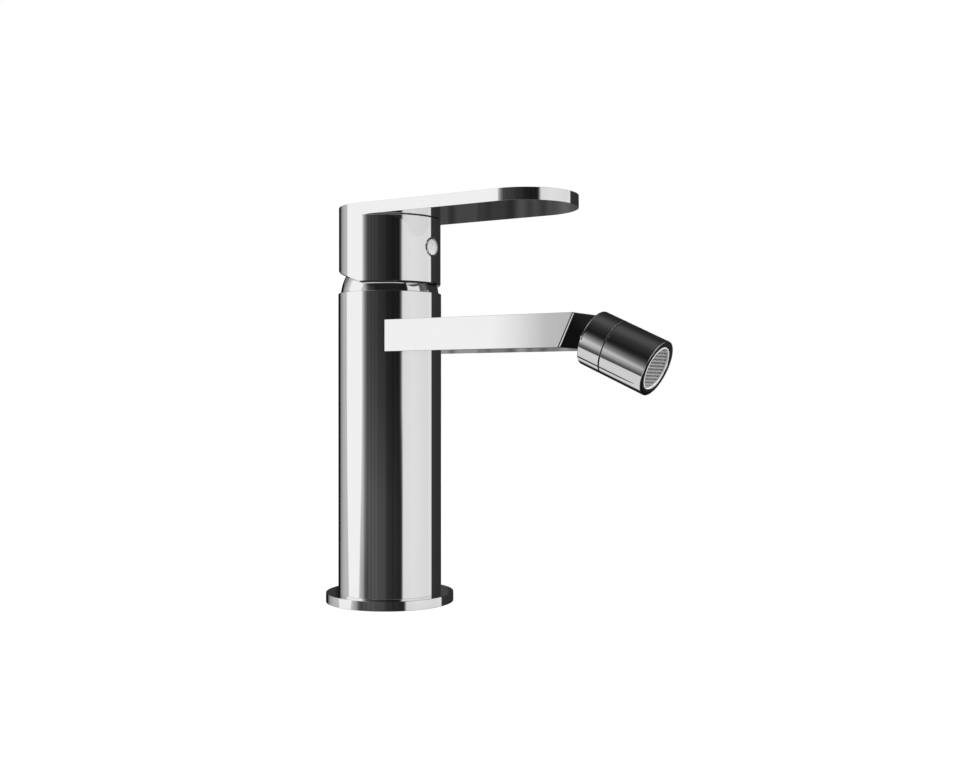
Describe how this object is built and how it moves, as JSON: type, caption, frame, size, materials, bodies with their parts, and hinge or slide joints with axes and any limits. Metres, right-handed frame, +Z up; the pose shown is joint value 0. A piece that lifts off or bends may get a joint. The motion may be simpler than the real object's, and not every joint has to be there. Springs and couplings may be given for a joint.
{
  "type": "bidet mixer",
  "caption": "Single-lever bidet mixer: round body on a flange, domed ring, cap handle with a flat round-tipped lever, flat bar spout and a ball-jointed aerator nozzle, all in chrome.",
  "frame": {"origin": "body axis at the underside of the foot flange, on the deck", "axes": "+Z up along the body axis, the spout and lever point to -Y, the part is symmetrical about the YZ plane"},
  "size_m": [0.057, 0.1618, 0.1755],
  "materials": {
    "chrome": "polished chrome plating",
    "brass": "machined",
    "rubber": "moulded",
    "white_plastic": "moulded",
    "grey_plastic": "moulded",
    "ceramic": "lapped",
    "steel": "drawn"
  },
  "bodies": {
    "mixer": {"base_flange": "chrome", "base_gasket": "rubber", "body": "chrome", "inlet_block": "brass", "block_oring": "rubber", "spout": "chrome", "cartridge_base": "white_plastic", "port_seals": "rubber", "fixed_disc": "ceramic", "cartridge_housing": "white_plastic", "cartridge_oring": "rubber", "cartridge_nut": "brass", "dome_ring": "chrome", "ball_stud": "chrome", "stud_gasket": "rubber"},
    "turret": {"turret": "grey_plastic", "pivot_pin": "steel"},
    "handle": {"spindle": "steel", "handle": "chrome", "grub_screw": "steel", "index_plug": "chrome"},
    "disc_slider": {"moving_disc": "ceramic", "disc_carrier": "grey_plastic"},
    "rear_seat": {"rear_seat": "white_plastic"},
    "front_seat": {"front_seat": "white_plastic"},
    "nozzle": {"ball_collar": "chrome", "ball_seal": "rubber", "seat_bush": "white_plastic", "aerator_washer": "rubber", "aerator_insert": "white_plastic", "aerator_sieve": "grey_plastic", "aerator_screen": "grey_plastic", "aerator_housing": "chrome"}
  },
  "joints": [
    {"name": "handle_turn", "type": "hinge", "parent": "mixer", "child": "turret", "pos_m": [0, 0, 0.1395], "axis": [0, 0, 1], "range_deg": [-45, 45]},
    {"name": "handle_lift", "type": "hinge", "parent": "turret", "child": "handle", "pos_m": [0, 0, 0.1395], "axis": [-1, 0, 0], "range_deg": [0, 25]},
    {"name": "disc_slide", "type": "slide", "parent": "turret", "child": "disc_slider", "axis": [0, -1, 0], "range_m": [0, 0.0053]},
    {"name": "nozzle_pitch", "type": "hinge", "parent": "mixer", "child": "rear_seat", "pos_m": [0, -0.10869, 0.11175], "axis": [1, 0, 0], "range_deg": [-10, 10]},
    {"name": "nozzle_yaw", "type": "hinge", "parent": "rear_seat", "child": "front_seat", "pos_m": [0, -0.10869, 0.11175], "axis": [0, -0.4226, 0.9063], "range_deg": [-10, 10]},
    {"name": "nozzle_spin", "type": "hinge", "parent": "front_seat", "child": "nozzle", "pos_m": [0, -0.10869, 0.11175], "axis": [0, -0.9063, -0.4226], "continuous": true}
  ],
  "couplings": [
    {"joint": "disc_slide", "follows": "handle_lift", "m_per_rad": 0.012108}
  ]
}
